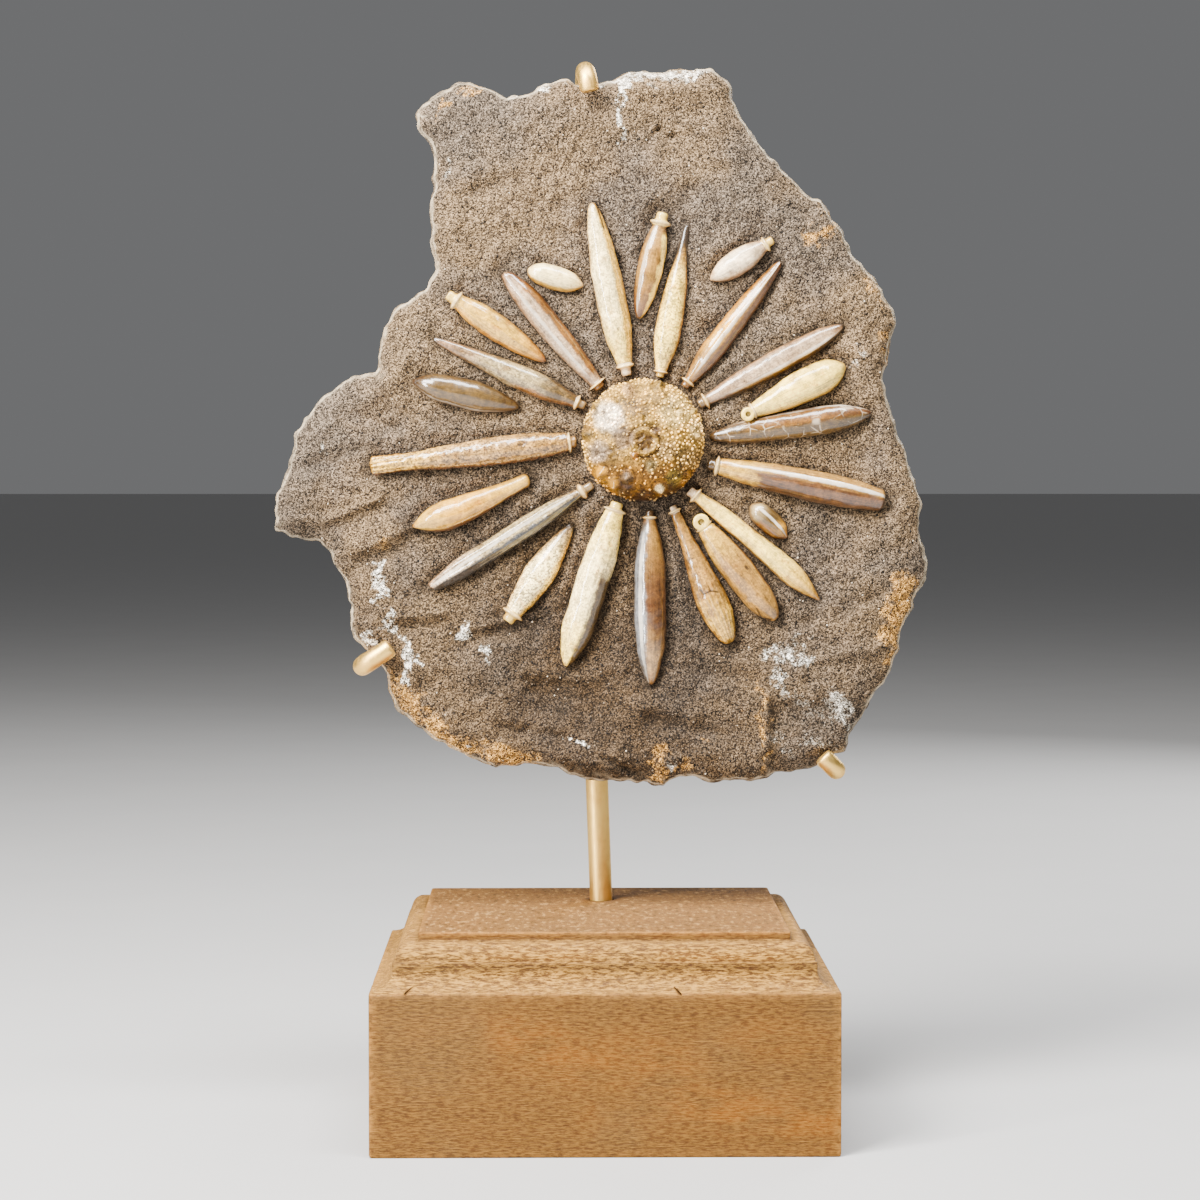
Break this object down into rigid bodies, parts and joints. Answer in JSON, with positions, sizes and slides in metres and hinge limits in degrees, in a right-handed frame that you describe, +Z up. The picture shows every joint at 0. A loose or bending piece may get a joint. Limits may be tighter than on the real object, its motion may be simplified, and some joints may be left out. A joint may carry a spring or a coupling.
{
  "type": "fossil sea urchin on stand",
  "caption": "Fossil sea urchin with its club-shaped spines spread round it on an upright slab of rock, held by a bent brass claw stand on a moulded wooden base.",
  "frame": {"origin": "middle of the wooden base's flat underside", "axes": "+Z up the stand, -Y the way the fossil faces, +X to the right as seen from the front"},
  "size_m": [0.1641, 0.102, 0.2642],
  "materials": {
    "rock": "matte",
    "test": "matte",
    "spine_pale": "satin",
    "spine_tan": "satin",
    "spine_dark": "satin",
    "brass": "satin",
    "wood": "satin"
  },
  "bodies": {
    "root": {"rock_matrix": "rock", "urchin_test": "test", "spine_01": "spine_pale", "spine_02": "spine_tan", "spine_03": "spine_pale", "spine_04": "spine_pale", "spine_05": "spine_tan", "spine_06": "spine_dark", "spine_07": "spine_pale", "spine_08": "spine_dark", "spine_09": "spine_dark", "spine_10": "spine_dark", "spine_11": "spine_pale", "spine_12": "spine_tan", "spine_13": "spine_tan", "spine_14": "spine_dark", "spine_15": "spine_pale", "spine_16": "spine_pale", "spine_17": "spine_dark", "spine_18": "spine_tan", "spine_19": "spine_tan", "spine_20": "spine_dark", "spine_21": "spine_pale", "spine_22": "spine_tan", "spine_23": "spine_pale", "spine_24": "spine_pale", "brass_post": "brass", "top_claw": "brass", "left_claw": "brass", "right_claw": "brass", "wooden_base": "wood"}
  },
  "joints": []
}
